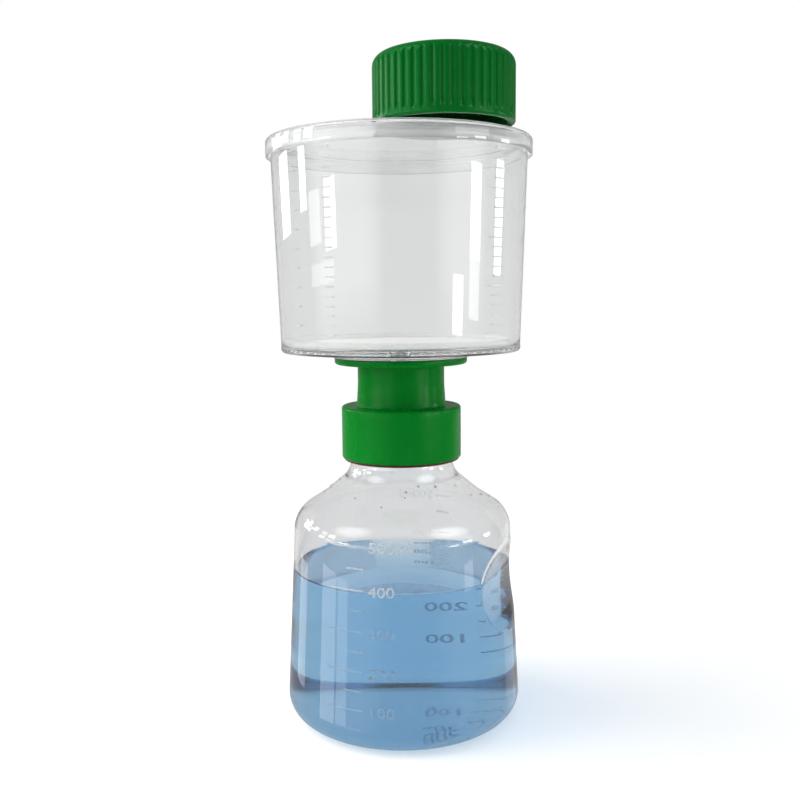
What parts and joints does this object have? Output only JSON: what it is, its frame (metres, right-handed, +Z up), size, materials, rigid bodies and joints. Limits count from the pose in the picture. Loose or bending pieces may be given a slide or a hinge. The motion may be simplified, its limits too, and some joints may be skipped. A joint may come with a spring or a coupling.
{
  "type": "vacuum filtration unit",
  "caption": "Bench vacuum filter: clear lidded funnel on a green threaded adapter with rear hose port, screwed onto a clear receiver bottle of pale blue filtrate, its screw cap on the lid.",
  "frame": {"origin": "centre of the bottle's base, on the surface it stands on", "axes": "+Z up along the unit's axis, -Y towards the front, +Y the way the hose port points"},
  "size_m": [0.106, 0.1221, 0.26],
  "materials": {
    "clear_plastic": "clear, glossy",
    "blue_filtrate": "clear pale blue liquid",
    "green_plastic": "moulded, semi-gloss",
    "cap_green_plastic": "moulded, satin",
    "natural_plastic": "milky, satin",
    "white_silicone": "soft, matte",
    "red_silicone": "soft, matte",
    "white_membrane": "fine matte sheet",
    "white_fibre": "pressed fibre"
  },
  "bodies": {
    "receiver": {"receiver_bottle": "clear_plastic", "filtrate": "blue_filtrate"},
    "seals": {"neck_gasket": "white_silicone", "collar_mouth_seal": "red_silicone"},
    "filter_unit": {"adapter": "green_plastic", "air_filter_plug": "white_fibre", "drain_plate": "clear_plastic", "spigot_seal": "white_silicone", "membrane": "white_membrane", "hold_down_ring": "clear_plastic", "funnel": "clear_plastic"},
    "lid": {"funnel_lid": "clear_plastic", "screw_cap": "cap_green_plastic"},
    "connector": {"hose_connector": "natural_plastic"}
  },
  "joints": [
    {"name": "thread_rise", "type": "slide", "parent": "receiver", "child": "seals", "axis": [0, 0, 1], "range_m": [0, 0.0081]},
    {"name": "unit_unscrew", "type": "hinge", "parent": "seals", "child": "filter_unit", "pos_m": [0, 0, 0.1261], "axis": [0, 0, 1], "range_deg": [0, 720]},
    {"name": "lid_lift", "type": "slide", "parent": "filter_unit", "child": "lid", "axis": [0, 0, 1], "range_m": [0, 0.03]},
    {"name": "connector_pull", "type": "slide", "parent": "filter_unit", "child": "connector", "axis": [0, 1, 0], "range_m": [0, 0.012]}
  ],
  "couplings": [
    {"joint": "thread_rise", "follows": "unit_unscrew", "m_per_rad": 0.00063662}
  ]
}
